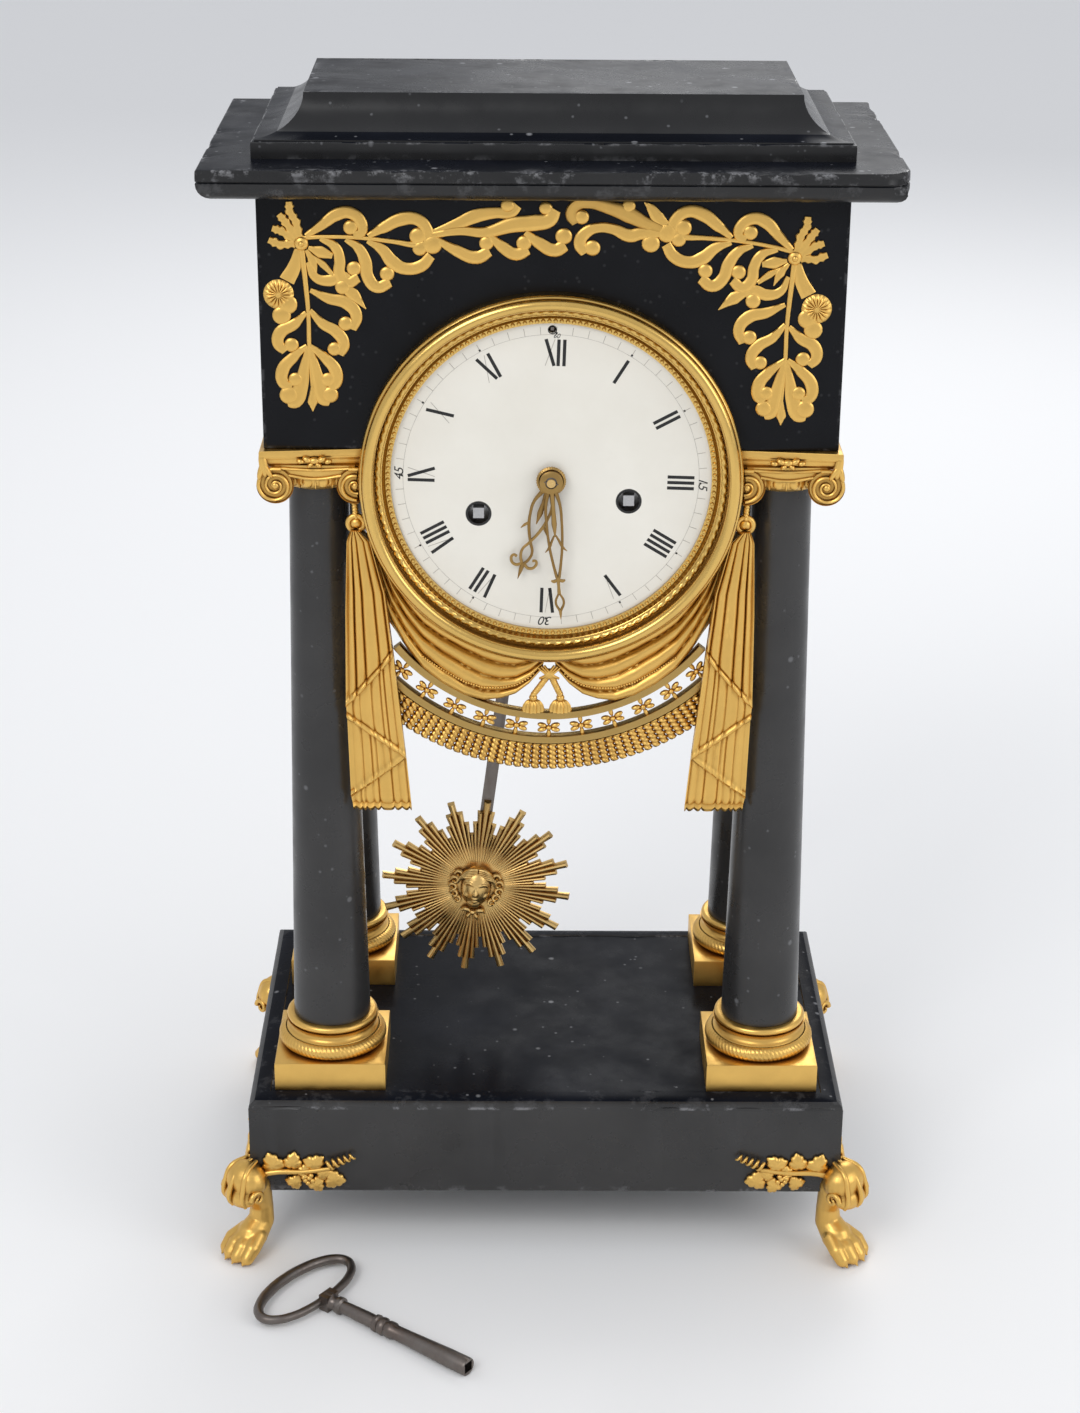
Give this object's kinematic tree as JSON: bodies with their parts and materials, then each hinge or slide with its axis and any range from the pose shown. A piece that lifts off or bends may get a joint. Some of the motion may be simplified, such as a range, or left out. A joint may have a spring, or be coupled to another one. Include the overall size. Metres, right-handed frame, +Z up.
{
  "type": "portico clock",
  "caption": "Black marble portico clock on gilt paw feet, with columns, an enamel dial in a drum, cast drapery, a sunburst pendulum and a loose winding key.",
  "frame": {"origin": "on the floor under the middle of the base slab, midway between the four paw feet", "axes": "+Z up, -Y out of the dial towards the reader, +X to the reader's right"},
  "size_m": [0.2662, 0.2496, 0.4596],
  "materials": {
    "black_marble": "polished black marble, dusty and chipped at the edges",
    "gilt_bronze": "cast, chased and gilded bronze, rubbed on the high places",
    "clock_brass": "lacquered clock brass",
    "dark_steel": "worn dark steel",
    "white_enamel": "cream white glossy enamel on copper",
    "blacked_sheet": "sheet metal, blacked"
  },
  "bodies": {
    "case": {"foot_front_left": "gilt_bronze", "foot_front_right": "gilt_bronze", "foot_rear_left": "gilt_bronze", "foot_rear_right": "gilt_bronze", "base_slab": "black_marble", "column_bases": "gilt_bronze", "column_front_left": "black_marble", "column_front_right": "black_marble", "column_rear_left": "black_marble", "column_rear_right": "black_marble", "capital_front_left": "gilt_bronze", "capital_front_right": "gilt_bronze", "capital_rear_left": "gilt_bronze", "capital_rear_right": "gilt_bronze", "tie_rods": "dark_steel", "tie_rod_nuts": "dark_steel", "frieze_block": "black_marble", "cornice_slab": "black_marble", "cap_block": "black_marble", "scroll_mount_left": "gilt_bronze", "scroll_mount_right": "gilt_bronze", "side_mounts": "gilt_bronze", "drape_tail_left": "gilt_bronze", "drape_tail_right": "gilt_bronze", "drape_swag": "gilt_bronze", "floret_band": "gilt_bronze", "bullion_fringe": "gilt_bronze", "drum_case": "blacked_sheet", "bezel": "gilt_bronze", "dial": "white_enamel", "rear_ring": "clock_brass", "bezel_straps": "clock_brass", "front_plate": "clock_brass", "back_plate": "clock_brass", "plate_pillars": "clock_brass", "bell": "clock_brass", "bell_stand": "dark_steel", "suspension_cock": "clock_brass"},
    "minute_work": {"cannon_pinion": "clock_brass", "minute_hand": "gilt_bronze"},
    "center_work": {"center_wheel": "clock_brass"},
    "minute_gear": {"minute_wheel": "clock_brass"},
    "hour_work": {"hour_wheel": "clock_brass", "hour_hand": "gilt_bronze"},
    "intermediate": {"intermediate_wheel": "clock_brass"},
    "going_drum": {"going_barrel": "clock_brass"},
    "third": {"third_wheel": "clock_brass"},
    "escape": {"escape_wheel": "clock_brass"},
    "going_winder": {"going_arbor": "dark_steel"},
    "pin_work": {"pin_wheel": "clock_brass"},
    "count_work": {"count_wheel": "clock_brass"},
    "strike_drum": {"strike_barrel": "clock_brass"},
    "strike_fly": {"fly": "clock_brass"},
    "strike_winder": {"strike_arbor": "dark_steel"},
    "strike_hammer": {"hammer": "dark_steel"},
    "pendulum": {"pendulum_rod": "dark_steel", "sunburst_bob": "gilt_bronze"},
    "anchor": {"pallet_anchor": "dark_steel"},
    "regulator": {"regulator_arbor": "dark_steel"},
    "key": {"winding_key": "dark_steel"}
  },
  "joints": [
    {"name": "minute_turn", "type": "hinge", "parent": "case", "child": "minute_work", "pos_m": [0, 0, 0.324], "axis": [0, 1, 0], "continuous": true},
    {"name": "minute_gear_turn", "type": "hinge", "parent": "case", "child": "minute_gear", "pos_m": [0.0075, 0, 0.33699], "axis": [0, 1, 0], "continuous": true},
    {"name": "hour_turn", "type": "hinge", "parent": "case", "child": "hour_work", "pos_m": [0, 0, 0.324], "axis": [0, 1, 0], "continuous": true},
    {"name": "center_turn", "type": "hinge", "parent": "case", "child": "center_work", "pos_m": [0, 0, 0.324], "axis": [0, 1, 0], "continuous": true},
    {"name": "intermediate_turn", "type": "hinge", "parent": "case", "child": "intermediate", "pos_m": [0.00945, 0, 0.31313], "axis": [0, 1, 0], "continuous": true},
    {"name": "going_barrel_turn", "type": "hinge", "parent": "case", "child": "going_drum", "pos_m": [0.0285, 0, 0.3155], "axis": [0, 1, 0], "continuous": true},
    {"name": "third_turn", "type": "hinge", "parent": "case", "child": "third", "pos_m": [-0.0095, 0, 0.33317], "axis": [0, 1, 0], "continuous": true},
    {"name": "escape_turn", "type": "hinge", "parent": "case", "child": "escape", "pos_m": [0.00001, 0, 0.34097], "axis": [0, 1, 0], "continuous": true},
    {"name": "going_winding", "type": "hinge", "parent": "case", "child": "going_winder", "pos_m": [0.0285, 0, 0.3155], "axis": [0, 1, 0], "continuous": true},
    {"name": "pin_turn", "type": "hinge", "parent": "case", "child": "pin_work", "pos_m": [-0.02399, 0, 0.34113], "axis": [0, 1, 0], "continuous": true},
    {"name": "count_turn", "type": "hinge", "parent": "case", "child": "count_work", "pos_m": [-0.02817, 0, 0.32963], "axis": [0, 1, 0], "continuous": true},
    {"name": "strike_barrel_turn", "type": "hinge", "parent": "case", "child": "strike_drum", "pos_m": [-0.0265, 0, 0.3105], "axis": [0, 1, 0], "continuous": true},
    {"name": "fly_turn", "type": "hinge", "parent": "case", "child": "strike_fly", "pos_m": [-0.01841, 0, 0.35079], "axis": [0, 1, 0], "continuous": true},
    {"name": "strike_winding", "type": "hinge", "parent": "case", "child": "strike_winder", "pos_m": [-0.0265, 0, 0.3105], "axis": [0, 1, 0], "continuous": true},
    {"name": "hammer_lift", "type": "hinge", "parent": "case", "child": "strike_hammer", "pos_m": [-0.038, 0, 0.348], "axis": [0, 1, 0], "range_deg": [0, 12]},
    {"name": "regulator_turn", "type": "hinge", "parent": "case", "child": "regulator", "pos_m": [0, 0, 0.38], "axis": [0, 1, 0], "continuous": true},
    {"name": "pendulum_swing", "type": "hinge", "parent": "case", "child": "pendulum", "pos_m": [0, 0, 0.35347], "axis": [0, -1, 0], "range_deg": [0, 14.6]},
    {"name": "anchor_rock", "type": "hinge", "parent": "case", "child": "anchor", "pos_m": [0, 0, 0.35347], "axis": [0, -1, 0], "range_deg": [0, 14.6]},
    {"name": "key_lift", "type": "slide", "parent": "case", "child": "key", "axis": [0, 0, 1], "range_m": [0, 0.15]}
  ],
  "couplings": [
    {"joint": "minute_gear_turn", "follows": "minute_turn", "ratio": -0.33333},
    {"joint": "hour_turn", "follows": "minute_turn", "ratio": 0.083333},
    {"joint": "center_turn", "follows": "minute_turn", "ratio": 1},
    {"joint": "intermediate_turn", "follows": "minute_turn", "ratio": -0.14286},
    {"joint": "going_barrel_turn", "follows": "minute_turn", "ratio": 0.020408},
    {"joint": "third_turn", "follows": "minute_turn", "ratio": -10},
    {"joint": "escape_turn", "follows": "minute_turn", "ratio": 126.67},
    {"joint": "count_turn", "follows": "pin_turn", "ratio": -0.13333},
    {"joint": "strike_barrel_turn", "follows": "pin_turn", "ratio": 0.019048},
    {"joint": "fly_turn", "follows": "pin_turn", "ratio": -9.3333},
    {"joint": "anchor_rock", "follows": "pendulum_swing", "ratio": 1}
  ]
}
